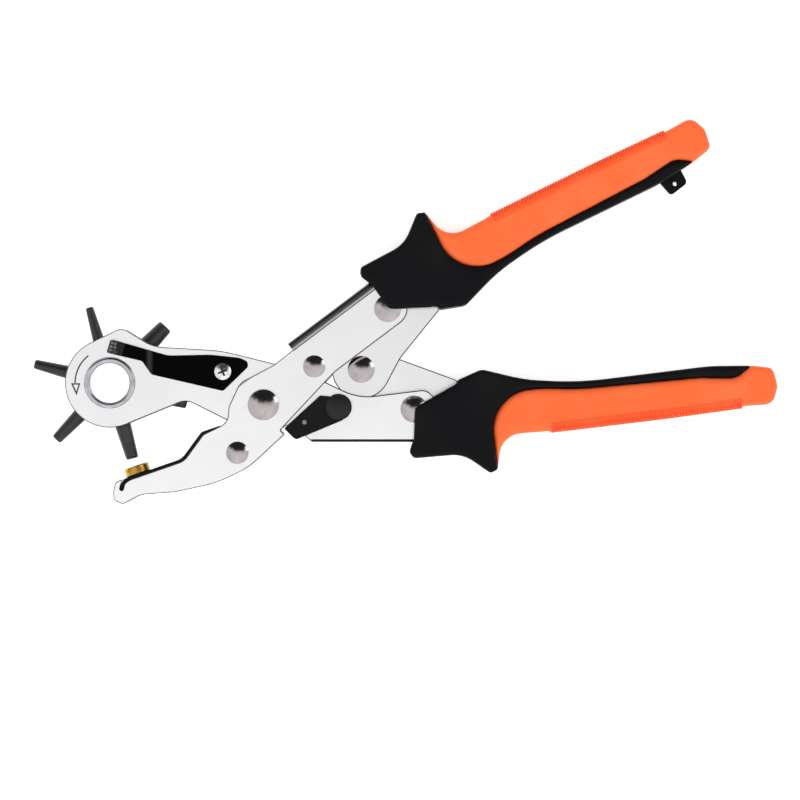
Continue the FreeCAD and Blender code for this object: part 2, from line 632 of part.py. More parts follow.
GRIP_PARTING = [(26.0, -3.2, 14), (46.0, -3.3, 20), (57.0, -2.0, 20), (100.0, -2.3, 20), (112.5, -1.1, 6)]
GRIP_TOE = (118.3, -5.0, 0)
GUARD_TIP = (27.3, 23.4, 0)


def core_corners():
    """Black body of a grip: shroud, finger guard and the strip along the inside."""
    mouth = [(0.3, -0.2, 0.6), (-1.2, 10.7, 2), (-3.0, 14.8, 0.8), (-1.6, 17.1, 1.2), (15.6, 17.1, 12),
             (24.6, 24.6, 1.2)]
    inside = [(104.0, -6.1, 60), (58.0, -4.4, 40), (39.5, -6.9, 25), (24.6, -11.8, 3), (16.2, -8.9, 0.3),
              (15.6, -7.7, 0.3), (2.4, -1.6, 1)]
    return mouth + [GUARD_TIP] + GRIP_PARTING + [GRIP_TOE] + inside


def cover_corners():
    """Soft cover: the outer side of the grip, with the raised land for the ribs."""
    crown = [(GRIP_LENGTH - 1.2, -3.6, 2.6), (GRIP_LENGTH, 3.0, 4), (124.6, 9.2, 4), (119.0, 9.0, 0),
             (114.6, 8.8, 2.5), (113.2, 9.8, 2.5), (88.0, 11.0, 60), (60.0, 12.0, 80), (47.2, 12.5, 2.5),
             (45.8, 11.7, 2.5), (29.6, 11.7, 8)]
    return [GUARD_TIP] + GRIP_PARTING + [GRIP_TOE] + crown


def grip_slab(corners, origin, bearing, side, low, high):
    return slab(seat(corners, origin, bearing, side), low, high)


def grip_cavity(origin, bearing, side):
    """Hollow in the shroud that the jaw's tail swings in, open towards the head."""
    corners = [(-8.0, -15.0, 0), (15.2, -15.0, 0), (15.2, -6.5, 1), (11.5, 2.0, 3), (11.5, 12.0, 2),
               (9.0, 15.2, 2), (-8.0, 15.2, 0)]
    return grip_slab(corners, origin, bearing, side, -CHEEK_INNER, CHEEK_INNER)


def grip_inner_core(origin, bearing, side):
    corners = [(22.0, -4.0, 0), (27.5, 9.0, 3), (60.0, 8.8, 0), (112.0, 6.4, 5), (119.0, 3.0, 3),
               (119.5, -3.0, 2), (112.0, -4.0, 0)]
    return grip_slab(corners, origin, bearing, side, -CORE_HALF, CORE_HALF)


def grip_core(origin, bearing, side, tang):
    """Hard black body: shroud with a cavity, strip, and the core that the cover wraps."""
    shroud = grip_slab(core_corners(), origin, bearing, side, -GRIP_HALF, GRIP_HALF)
    shroud = round_edges(round_edges(shroud, GRIP_HALF, SHROUD_ROUND), -GRIP_HALF, SHROUD_ROUND)
    thin = [(34.0, -20.0, 0), (140.0, -20.0, 0), (140.0, 20.0, 0), (34.0, 20.0, 0)]
    for low, high in ((STRIP_HALF, BEYOND), (-BEYOND, -STRIP_HALF)):
        shroud = shroud.cut(grip_slab(thin, origin, bearing, side, low, high))
    body = join([shroud, grip_inner_core(origin, bearing, side)])
    return body.cut([grip_cavity(origin, bearing, side)] + tang)


def grip_cover(origin, bearing, side):
    """Soft cover wrapped round the outer side of the core."""
    cover = grip_slab(cover_corners(), origin, bearing, side, -COVER_HALF, COVER_HALF)
    cover = round_edges(round_edges(cover, COVER_HALF, GRIP_ROUND), -COVER_HALF, GRIP_ROUND)
    return cover.cut(grip_inner_core(origin, bearing, side))


def upper_grip_core():
    return grip_core(UPPER_LINK, UPPER_GRIP_BEARING, 1, both(upper_plate()))


def hang_tab(core):
    """Small eye under the end of the upper grip."""
    corners = [(104.4, -4.0, 0), (106.1, -11.6, 1.4), (113.3, -10.4, 1.6), (113.3, -4.0, 0)]
    tab = grip_slab(corners, UPPER_LINK, UPPER_GRIP_BEARING, 1, -TAB_HALF, TAB_HALF)
    tab = break_edges(break_edges(tab, TAB_HALF, TAB_EDGE), -TAB_HALF, TAB_EDGE)
    return tab.cut([through(TAB_EYE, TAB_HOLE), core])


# ---- latch ----
def latch_lever():
    """Swinging latch whose nose stops the anvil jaw's shoulder; boss round its pin."""
    low = HEAD_OUTER + LATCH_GAP
    high = latch_top()
    arm = [(7.1, -8.2, 0.7), (11.2, -12.2, 1.6), (27.6, -5.3, 0), (25.0, 2.5, 0), (22.9, 3.0, 0.8),
           (19.7, 3.3, 1.2)]
    body = join([slab(arm, low, high - 0.4), disc(LATCH, LATCH_BOSS, low, high)])
    nub = dome((14.3, -6.0), 0.9, high - 0.4, 0.5, 0.1)
    return join([body, nub]).cut(through(LATCH, LATCH_PIN + RUNNING_FIT))


# ---- everything, by node name ----
def head_parts():
    return {"turret_jaw_frame": turret_jaw_frame(), "hub_eyelet": hub_eyelet(),
            "index_spring": index_spring(), "index_screw": index_screw(),
            "head_standoff": head_standoff(), "pivot_sleeve": pivot_sleeve(),
            "opening_spring": opening_spring(), "latch_pin": latch_pin()}


def turret_parts():
    parts = {"turret_wheel": turret_wheel()}
    for i, size in enumerate(PUNCH_SIZES):
        name = "punch_tube_{}mm".format(str(size).replace(".", "_"))
        parts[name] = punch_tube(size, PUNCH_BEARING - 60 * i)
    return parts


def jaw_parts():
    pivot = rivet(MAIN, PIVOT_SHANK, PIVOT_HEAD, JAW_OUTER, PIVOT_HEAD_HEIGHT, PIVOT_RIM)
    return {"anvil_jaw_frame": anvil_jaw_frame(), "anvil_bar": anvil_bar(), "anvil": anvil(),
            "main_pivot_rivet": pivot,
            "jaw_rivet": rivet(JAW_RIVET, SMALL_SHANK, SMALL_HEAD, JAW_OUTER, SMALL_HEAD_HEIGHT),
            "stop_rivet": rivet(STOP_RIVET, SMALL_SHANK, SMALL_HEAD, JAW_OUTER, SMALL_HEAD_HEIGHT),
            "stop_sleeve": ring(STOP_RIVET, SMALL_SHANK, SMALL_SHANK + 1, -JAW_INNER, JAW_INNER)}


def upper_handle_parts():
    plate = upper_plate()
    washer = ring(UPPER_LINK, LINK_SHANK, 6.0, YOKE_OUTER, JAW_INNER - HEAD_PLAY)
    pin = rivet(UPPER_LINK, LINK_SHANK, LINK_HEAD, JAW_OUTER + HEAD_PLAY, LINK_HEAD_HEIGHT)
    core = upper_grip_core()
    return {"upper_handle_plate_front": plate, "upper_handle_plate_rear": flipped(plate),
            "upper_link_rivet": pin,
            "upper_link_washer_front": washer, "upper_link_washer_rear": flipped(washer),
            "handle_lap_rivet": rivet(LAP, LINK_SHANK, LINK_HEAD, YOKE_OUTER, LAP_HEAD_HEIGHT),
            "upper_grip_core": core, "hang_tab": hang_tab(core),
            "upper_grip_cover": grip_cover(UPPER_LINK, UPPER_GRIP_BEARING, 1)}


def lower_handle_parts():
    washer = ring(LOWER_LINK, LINK_SHANK, 6.0, BAR_HALF, HEAD_INNER - HEAD_PLAY)
    pin = rivet(LOWER_LINK, LINK_SHANK, LINK_HEAD, HEAD_OUTER + HEAD_PLAY, LOWER_HEAD_HEIGHT)
    return {"lower_handle_bar": lower_bar(), "lower_link_rivet": pin,
            "lower_link_washer_front": washer, "lower_link_washer_rear": flipped(washer),
            "lower_grip_core": grip_core(LOWER_LINK, LOWER_GRIP_BEARING, -1, [lower_bar()]),
            "lower_grip_cover": grip_cover(LOWER_LINK, LOWER_GRIP_BEARING, -1)}


def all_parts():
    parts = {}
    parts.update(head_parts())
    parts.update(turret_parts())
    parts.update({"index_pad": index_pad(), "index_pin": index_pin()})
    parts.update(jaw_parts())
    parts.update(upper_handle_parts())
    parts.update(lower_handle_parts())
    parts["latch_lever"] = latch_lever()
    return parts


def write_parts(parts):
    """Move everything so that the bounding box stands on z = 0 round the origin, and save it."""
    box = Part.makeCompound(list(parts.values())).optimalBoundingBox()
    shift = vec(-(box.XMin + box.XMax) / 2, -(box.YMin + box.YMax) / 2, -box.ZMin)
    os.makedirs("parts", exist_ok=True)
    for name, shape in parts.items():
        moved = shape.copy()
        moved.translate(shift)
        moved.exportStep("parts/{}.step".format(name))
        state = "" if moved.isValid() and len(moved.Solids) == 1 else "  CHECK"
        print("{:26s} solids {} volume {:9.1f}{}".format(name, len(moved.Solids), moved.Volume, state))
    print("box", [round(v, 3) for v in (box.XLength, box.YLength, box.ZLength)])
    points = {"main": MAIN, "hub": HUB, "upper_link": UPPER_LINK, "lower_link": LOWER_LINK, "lap": LAP,
              "latch": LATCH, "index_pin": INDEX_PIN, "tab_eye": TAB_EYE, "anvil_seat": ANVIL_SEAT,
              "screw": SCREW, "origin": (0.0, 0.0)}
    for name, (x, y) in points.items():
        print("point", name, round(x + shift.x, 4), round(y + shift.y, 4), round(shift.z, 4))


write_parts(all_parts())
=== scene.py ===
"""Looks of a rotary hole punch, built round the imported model.

Lengths in the classes below are in millimetres, in each part's own frame, and are turned into
metres of the row frame when a piece is placed.
"""

import json
import logging
import math
from dataclasses import dataclass
from enum import Enum
from typing import Any, ClassVar, Iterable, Optional, Sequence, Union

import bpy
import numpy as np
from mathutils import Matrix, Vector

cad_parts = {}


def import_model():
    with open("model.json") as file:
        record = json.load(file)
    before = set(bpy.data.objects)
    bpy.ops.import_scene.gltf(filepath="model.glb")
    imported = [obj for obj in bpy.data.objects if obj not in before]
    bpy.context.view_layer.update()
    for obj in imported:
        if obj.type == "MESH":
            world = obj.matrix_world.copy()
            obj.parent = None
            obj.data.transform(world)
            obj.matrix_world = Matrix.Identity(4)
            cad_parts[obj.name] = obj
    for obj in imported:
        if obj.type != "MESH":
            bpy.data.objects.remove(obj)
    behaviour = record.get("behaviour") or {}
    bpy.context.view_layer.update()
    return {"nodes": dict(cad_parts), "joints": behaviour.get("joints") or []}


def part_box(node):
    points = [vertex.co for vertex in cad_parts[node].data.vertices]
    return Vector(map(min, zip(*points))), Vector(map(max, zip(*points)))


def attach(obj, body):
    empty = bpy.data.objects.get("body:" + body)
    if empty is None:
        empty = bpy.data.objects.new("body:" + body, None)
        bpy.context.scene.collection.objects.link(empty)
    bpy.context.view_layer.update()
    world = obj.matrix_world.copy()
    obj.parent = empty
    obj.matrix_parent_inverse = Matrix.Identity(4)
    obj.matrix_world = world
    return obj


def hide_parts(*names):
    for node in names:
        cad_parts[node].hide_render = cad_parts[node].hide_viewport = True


LOG = logging.getLogger("hole_punch")
MM = 0.001
MID_PLANE = 11.0  # height of the plates' mid-plane over the table
STRAIGHT = 89.5  # half angle in degrees past which an outline's corner counts as straight
SHARP = 40.0  # angle in degrees from which two faces meet in an edge that gets rounded

Corner = tuple[float, float, float]  # x, y and radius
Point = tuple[float, float]
Colour = tuple[float, float, float]
Number = Union[float, "Value"]


# ---------------------------------------------------------------- shader graph
class Value:
    """A number socket that Python's arithmetic turns into Math nodes."""

    def __init__(self, graph: "Graph", socket: bpy.types.NodeSocket) -> None:
        """Wraps a socket.

        Args:
            graph: The graph the socket belongs to.
            socket: The output socket that carries the number.
        """
        self.graph = graph
        self.socket = socket

    def _math(self, operation: str, *terms: Number) -> "Value":
        """Adds one Math node.

        Args:
            operation: The Math node's operation.
            *terms: Its inputs in order, as numbers or values.

        Returns:
            The node's result.
        """
        return self.graph.number("ShaderNodeMath", {"operation": operation}, dict(enumerate(terms)))

    def __add__(self, other: Number) -> "Value":
        """Sum."""
        return self._math("ADD", self, other)

    def __radd__(self, other: float) -> "Value":
        """Sum with the number first."""
        return self._math("ADD", other, self)

    def __sub__(self, other: Number) -> "Value":
        """Difference."""
        return self._math("SUBTRACT", self, other)

    def __rsub__(self, other: float) -> "Value":
        """Difference with the number first."""
        return self._math("SUBTRACT", other, self)

    def __mul__(self, other: Number) -> "Value":
        """Product."""
        return self._math("MULTIPLY", self, other)

    def __rmul__(self, other: float) -> "Value":
        """Product with the number first."""
        return self._math("MULTIPLY", other, self)

    def __gt__(self, other: Number) -> "Value":
        """One where this is greater, else zero."""
        return self._math("GREATER_THAN", self, other)

    def __lt__(self, other: Number) -> "Value":
        """One where this is smaller, else zero."""
        return self._math("LESS_THAN", self, other)

    def __abs__(self) -> "Value":
        """Size without sign."""
        return self._math("ABSOLUTE", self)

    def held(self, low: float, high: float) -> "Value":
        """Rises from 0 at low to 1 at high and stays there.

        Args:
            low: Where the ramp starts.
            high: Where the ramp ends.

        Returns:
            The ramp's value.
        """
        return self.graph.number("ShaderNodeMapRange", {"interpolation_type": "SMOOTHSTEP"},
                                 {"Value": self, "From Min": low, "From Max": high})


class Graph:
    """The node tree of one material."""

    def __init__(self, name: str) -> None:
        """Makes an empty material.

        Args:
            name: The material's name.
        """
        self.material = bpy.data.materials.new(name)
        self.material.use_nodes = True
        self.tree = self.material.node_tree
        self.tree.nodes.clear()
        place = self.node("ShaderNodeTexCoord")
        self.place = place.outputs["Object"]
        split = self.node("ShaderNodeSeparateXYZ", inputs={"Vector": self.place})
        self.x = Value(self, split.outputs["X"])
        self.y = Value(self, split.outputs["Y"])
        self.z = Value(self, split.outputs["Z"])

    def node(self, kind: str, settings: Optional[dict[str, Any]] = None,
             inputs: Optional[dict[Any, Any]] = None) -> bpy.types.Node:
        """Adds a node, sets it and feeds it.

        Args:
            kind: The node's type.
            settings: The node's own properties, set first.
            inputs: Numbers, colours, sockets or values for its inputs, by name or index.

        Returns:
            The node.
        """
        made = self.tree.nodes.new(kind)
        for key, setting in (settings or {}).items():
            setattr(made, key, setting)
        for key, feed in (inputs or {}).items():
            socket = made.inputs[key]
            if isinstance(feed, Value):
                self.tree.links.new(feed.socket, socket)
            elif isinstance(feed, bpy.types.NodeSocket):
                self.tree.links.new(feed, socket)
            else:
                socket.default_value = feed
        return made

    def number(self, kind: str, settings: dict[str, Any], inputs: dict[Any, Any]) -> Value:
        """Adds a node and takes its first output as a number.

        Args:
            kind: The node's type.
            settings: The node's own properties.
            inputs: What its sockets get.

        Returns:
            The first output.
        """
        return Value(self, self.node(kind, settings, inputs).outputs[0])

    def noise(self, scale: float, detail: float = 3.0, stretch: Colour = (1.0, 1.0, 1.0),
              turn: float = 0.0) -> Value:
        """Cloudy noise in the row frame.

        Args:
            scale: Lumps per metre.
            detail: Octaves of finer lumps.
            stretch: Scale along each axis, after the turn.
            turn: Turn about Z in radians, so that a grain can follow a plate.

        Returns:
            The noise, about 0 to 1.
        """
        mapped = self.node("ShaderNodeMapping", {"vector_type": "TEXTURE"},
                           {"Vector": self.place, "Rotation": (0.0, 0.0, turn),
                            "Scale": tuple(1.0 / s for s in stretch)})
        return self.number("ShaderNodeTexNoise", {}, {"Vector": mapped.outputs[0], "Scale": scale,
                                                      "Detail": detail})

    def mixed(self, share: Number, first: Any, second: Any) -> bpy.types.NodeSocket:
        """Blends two colours.

        Args:
            share: Share of the second colour.
            first: A colour or a colour socket.
            second: A colour or a colour socket.

        Returns:
            The blended colour's socket.
        """
        made = self.node("ShaderNodeMix", {"data_type": "RGBA"})
        for key, feed in ((0, share), (6, first), (7, second)):
            if isinstance(feed, Value):
                self.tree.links.new(feed.socket, made.inputs[key])
            elif isinstance(feed, bpy.types.NodeSocket):
                self.tree.links.new(feed, made.inputs[key])
            else:
                made.inputs[key].default_value = (*feed, 1.0) if isinstance(feed, tuple) else feed
        return made.outputs[2]

    def bump(self, height: Value, distance: float, strength: float = 1.0) -> bpy.types.NodeSocket:
        """Relief from a height.

        Args:
            height: The height, 0 to 1.
            distance: The relief's full height in metres.
            strength: Share of the relief that is used.

        Returns:
            The normal's socket.
        """
        made = self.node("ShaderNodeBump", inputs={"Height": height, "Distance": distance,
                                                   "Strength": strength})
        return made.outputs[0]

    def finish(self, **inputs: Any) -> bpy.types.Material:
        """Ends the graph with one Principled shader.

        Args:
            **inputs: The shader's inputs, with underscores for spaces.

        Returns:
            The finished material.
        """
        named = {key.replace("_", " "): (*feed, 1.0) if isinstance(feed, tuple) else feed
                 for key, feed in inputs.items()}
        shader = self.node("ShaderNodeBsdfPrincipled", inputs=named)
        self.node("ShaderNodeOutputMaterial", inputs={"Surface": shader.outputs[0]})
        return self.material


# ---------------------------------------------------------------- finishes
@dataclass(frozen=True)
class PlateSteel:
    """Plated sheet steel with a fine grain, painted shade on its broken edges and a faint share of it on
    its side walls.

    Attributes:
        name: The material's name.
        colour: Colour of the faces.
        edge: Colour of the painted shade on the broken edges, also mixed at a small share into the side
            walls.
        outer: Distance of the outer face from the mid-plane.
        grain: Bearing of the grain in degrees.
        fold: Node whose folded side gets painted shade, and the direction it faces in degrees, if any.
        shade_width: Width of the painted shade on the fold's outer side.
        crease: Distance of the bend's fine crease, a painted dark line, from the outer side, or 0 for
            none.
        roughness: Roughness of the faces.
        edge_width: Width of the broken edges that get the painted shade.
        margin: What the bands round an edge give way, so that they meet cleanly.
        crease_half: Half the width of the painted crease line.
        dark: Colour of the painted shade on the fold's outer side and crease.
    """

    name: str
    colour: Colour
    edge: Colour
    outer: float
    grain: float
    fold: Optional[tuple[str, float]] = None
    shade_width: float = 1.0
    crease: float = 0.0
    roughness: float = 0.24
    edge_width: ClassVar[float] = 0.35
    margin: ClassVar[float] = 0.01
    crease_half: ClassVar[float] = 0.2
    dark: ClassVar[Colour] = (0.012, 0.012, 0.013)

    def build(self) -> bpy.types.Material:
        """Makes the material."""
        graph = Graph(self.name)
        lift = abs(graph.z - MID_PLANE * MM)
        foot = (self.outer - self.edge_width + self.margin) * MM
        edge = (lift > foot) * (lift < (self.outer - 2 * self.margin) * MM)
        wall = lift < foot
        if self.fold:
            depth, beside = self.fold_depth(graph)
            edge = edge * (1.0 - beside * (depth < self.crease * MM))
        grain = graph.noise(2600.0, 2.0, (0.05, 1.0, 0.3), math.radians(self.grain))
        cloud = graph.noise(45.0, 3.0)
        shade = tuple(c * 0.97 for c in self.colour)
        face = graph.mixed(cloud.held(0.35, 0.7), self.colour, shade)
        # Painted shade: the side walls take 0.15 of the dark edge colour and the broken edges take all of
        # it.
        wall_shaded = graph.mixed(wall * 0.15, face, self.edge)
        colour = graph.mixed(edge, wall_shaded, self.edge)
        # Painted shade on the fold's outer side and its crease line.
        if self.fold:
            colour = graph.mixed(self.fold_shade(depth, beside), colour, self.dark)
        roughness = self.roughness + 0.10 * (grain - 0.5) + 0.06 * (cloud - 0.5) + 0.12 * edge
        return graph.finish(Base_Color=colour, Metallic=1.0, Roughness=roughness,
                            Normal=graph.bump(grain, 0.000004, 0.5))

    def fold_depth(self, graph: Graph) -> tuple[Value, Value]:
        """Measures how far the surface lies from the fold's outer side.

        Args:
            graph: The material's graph.

        Returns:
            The distance in metres, and one beside the fold or zero beyond its end.
        """
        node, bearing = self.fold
        across = Vector((math.cos(math.radians(bearing)), math.sin(math.radians(bearing)), 0.0))
        along = Vector((across.y, -across.x, 0.0))
        places = [vertex.co for vertex in bpy.data.objects[node].data.vertices]
        reach = max(across.dot(place) for place in places)
        start = min(along.dot(place) for place in places if across.dot(place) > reach - 0.5 * MM)
        depth = reach - (graph.x * across.x + graph.y * across.y)
        return depth, (graph.x * along.x + graph.y * along.y) > start

    def fold_shade(self, depth: Value, beside: Value) -> Value:
        """Marks the painted shade on the fold's outer side and the painted crease line where the bend
        starts.

        Args:
            depth: Distance from the fold's outer side.
            beside: One beside the fold, else zero.

        Returns:
            One where the plate gets painted shade, else zero.
        """
        shade = 1.0 - depth.held(self.shade_width * 0.6 * MM, self.shade_width * 1.4 * MM)
        if self.crease:
            shade = shade + beside * (abs(depth - self.crease * MM) < self.crease_half * MM)
        return shade


@dataclass(frozen=True)
class BrightSteel:
    """Polished or plated metal with small clouds in its gloss.

    Attributes:
        name: The material's name.
        colour: Main colour.
        shade: Colour of the clouds.
        roughness: Mean roughness.
        scale: Clouds per metre.
        dents: Depth of the shallow unevenness in millimetres.
    """

    name: str
    colour: Colour
    shade: Colour
    roughness: float
    scale: float = 220.0
    dents: float = 0.005

    def build(self) -> bpy.types.Material:
        """Makes the material."""
        graph = Graph(self.name)
        cloud = graph.noise(self.scale, 4.0)
        fine = graph.noise(self.scale * 14.0, 2.0)
        colour = graph.mixed(cloud.held(0.4, 0.75), self.colour, self.shade)
        roughness = self.roughness + 0.12 * (cloud - 0.5) + 0.05 * (fine - 0.5)
        return graph.finish(Base_Color=colour, Metallic=1.0, Roughness=roughness,
                            Normal=graph.bump(cloud + 0.05 * fine, self.dents * MM, 0.6))


@dataclass(frozen=True)
class DarkCoat:
    """Black oxide or black paint over metal.

    Attributes:
        name: The material's name.
        colour: Main colour.
        worn: Colour where the coat is thin.
        roughness: Mean roughness.
        coat: Weight of the clear gloss on top.
        gloss: Specular level of the coat's own surface.
    """

    name: str
    colour: Colour
    worn: Colour
    roughness: float
    coat: float = 0.0
    gloss: float = 0.3

    def build(self) -> bpy.types.Material:
        """Makes the material."""
        graph = Graph(self.name)
        cloud = graph.noise(160.0, 4.0)
        fine = graph.noise(3200.0, 2.0)
        colour = graph.mixed(cloud.held(0.45, 0.8), self.colour, self.worn)
        roughness = self.roughness + 0.14 * (cloud - 0.5) + 0.06 * (fine - 0.5)
        return graph.finish(Base_Color=colour, Metallic=0.0, Roughness=roughness, Coat_Weight=self.coat,
                            Coat_Roughness=0.12, Specular_IOR_Level=self.gloss,
                            Normal=graph.bump(fine, 0.000008, 0.5))


@dataclass(frozen=True)
class BentLeaf:
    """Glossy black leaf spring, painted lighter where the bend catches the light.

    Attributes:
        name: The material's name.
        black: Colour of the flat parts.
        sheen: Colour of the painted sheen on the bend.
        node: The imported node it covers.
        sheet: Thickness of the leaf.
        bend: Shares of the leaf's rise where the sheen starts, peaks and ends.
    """

    name: str
    black: Colour
    sheen: Colour
    node: str
    sheet: float = 0.8
    bend: ClassVar[tuple[float, float, float]] = (0.12, 0.5, 0.92)

    def build(self) -> bpy.types.Material:
        """Makes the material."""
        graph = Graph(self.name)
        low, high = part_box(self.node)
        flat = low.z + self.sheet * MM
        rise = high.z - flat
        start, peak, end = (flat + share * rise for share in self.bend)
        bend = graph.z.held(start, peak) * (1.0 - graph.z.held(peak, end))
        cloud = graph.noise(300.0, 3.0)
        # Painted sheen: the bend is coloured lighter where it would catch the light.
        colour = graph.mixed(bend * (0.6 + 0.8 * cloud), self.black, self.sheen)
        return graph.finish(Base_Color=colour, Roughness=0.25 + 0.15 * (cloud - 0.5),
                            Specular_IOR_Level=0.02)


@dataclass(frozen=True)
class LatchPlastic:
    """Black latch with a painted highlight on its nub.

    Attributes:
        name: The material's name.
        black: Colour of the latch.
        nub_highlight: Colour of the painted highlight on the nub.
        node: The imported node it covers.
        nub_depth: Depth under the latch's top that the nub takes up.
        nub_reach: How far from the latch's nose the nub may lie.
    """

    name: str
    black: Colour
    nub_highlight: Colour
    node: str
    nub_depth: float = 0.3
    nub_reach: float = 9.5

    def build(self) -> bpy.types.Material:
        """Makes the material."""
        graph = Graph(self.name)
        low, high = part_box(self.node)
        nub = (graph.z > high.z - self.nub_depth * MM) * (graph.x < low.x + self.nub_reach * MM)
        cloud = graph.noise(240.0, 3.0)
        fine = graph.noise(2600.0, 2.0)
        # Painted highlight: the nub's top is coloured paler.
        colour = graph.mixed(nub * cloud.held(0.2, 0.6), self.black, self.nub_highlight)
        return graph.finish(Base_Color=colour, Roughness=0.30 + 0.2 * (cloud - 0.5),
                            Specular_IOR_Level=0.12, Normal=graph.bump(fine, 0.000006, 0.5))


@dataclass(frozen=True)
class CrossScrew:
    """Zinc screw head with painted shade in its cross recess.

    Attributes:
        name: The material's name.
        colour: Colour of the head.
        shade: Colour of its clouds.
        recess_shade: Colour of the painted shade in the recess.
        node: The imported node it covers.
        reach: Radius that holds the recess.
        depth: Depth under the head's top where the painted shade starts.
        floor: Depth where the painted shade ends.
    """

    name: str
    colour: Colour
    shade: Colour
    recess_shade: Colour
    node: str
    reach: float = 1.95
    depth: float = 0.35
    floor: float = 1.2

    def build(self) -> bpy.types.Material:
        """Makes the material."""
        graph = Graph(self.name)
        low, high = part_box(self.node)
        middle = (low + high) / 2
        flat = graph.node("ShaderNodeCombineXYZ", inputs={"X": graph.x, "Y": graph.y})
        offset = graph.node("ShaderNodeVectorMath", {"operation": "DISTANCE"},
                            {0: flat.outputs[0], 1: (middle.x, middle.y, 0.0)})
        near = Value(graph, offset.outputs["Value"]) < self.reach * MM
        sunk = (graph.z < high.z - self.depth * MM) * (graph.z > high.z - self.floor * MM)
        cloud = graph.noise(900.0, 3.0)
        metal = graph.mixed(cloud.held(0.4, 0.7), self.colour, self.shade)
        # Painted shade: the cross recess is coloured dark where shade falls in it.
        colour = graph.mixed(near * sunk, metal, self.recess_shade)
        return graph.finish(Base_Color=colour, Metallic=1.0, Roughness=0.24 + 0.16 * (cloud - 0.5))


@dataclass(frozen=True)
class KnurledPad:
    """Black thumb pad whose raised squares are worn grey.

    Attributes:
        name: The material's name.
        black: Colour of the pad and its grooves.
        worn: Colour of the squares' tops.
        node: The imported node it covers.
        reach: How far the worn squares run from the pad's free end.
        wear: Depth under the pad's top that counts as worn.
    """

    name: str
    black: Colour
    worn: Colour
    node: str
    reach: float = 3.3
    wear: float = 0.12

    def build(self) -> bpy.types.Material:
        """Makes the material."""
        graph = Graph(self.name)
        low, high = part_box(self.node)
        top = graph.z > high.z - self.wear * MM
        end = graph.x < low.x + self.reach * MM
        cloud = graph.noise(700.0, 3.0)
        colour = graph.mixed(top * end * cloud.held(0.25, 0.6), self.black, self.worn)
        return graph.finish(Base_Color=colour, Roughness=0.34 + 0.2 * (cloud - 0.5),
                            Specular_IOR_Level=0.3)


@dataclass(frozen=True)
class MouldedPlastic:
    """Moulded plastic with a spark-eroded grain and faint mottling.

    Attributes:
        name: The material's name.
        colour: Main colour.
        light: Colour of the faint mottling.
        roughness: Mean roughness.
        grain_depth: Depth of the grain in millimetres.
        gloss: Specular level.
        grain_scale: Grains per metre.
    """

    name: str
    colour: Colour
    light: Colour
    roughness: float
    grain_depth: float
    gloss: float = 0.4
    grain_scale: float = 2200.0

    def build(self) -> bpy.types.Material:
        """Makes the material."""
        graph = Graph(self.name)
        grain = graph.noise(self.grain_scale, 3.0)
        cloud = graph.noise(60.0, 3.0)
        colour = graph.mixed(cloud.held(0.4, 0.75), self.colour, self.light)
        roughness = self.roughness + 0.14 * (grain - 0.5) + 0.06 * (cloud - 0.5)
        return graph.finish(Base_Color=colour, Roughness=roughness, Specular_IOR_Level=self.gloss,
                            Normal=graph.bump(grain, self.grain_depth * MM, 0.6))


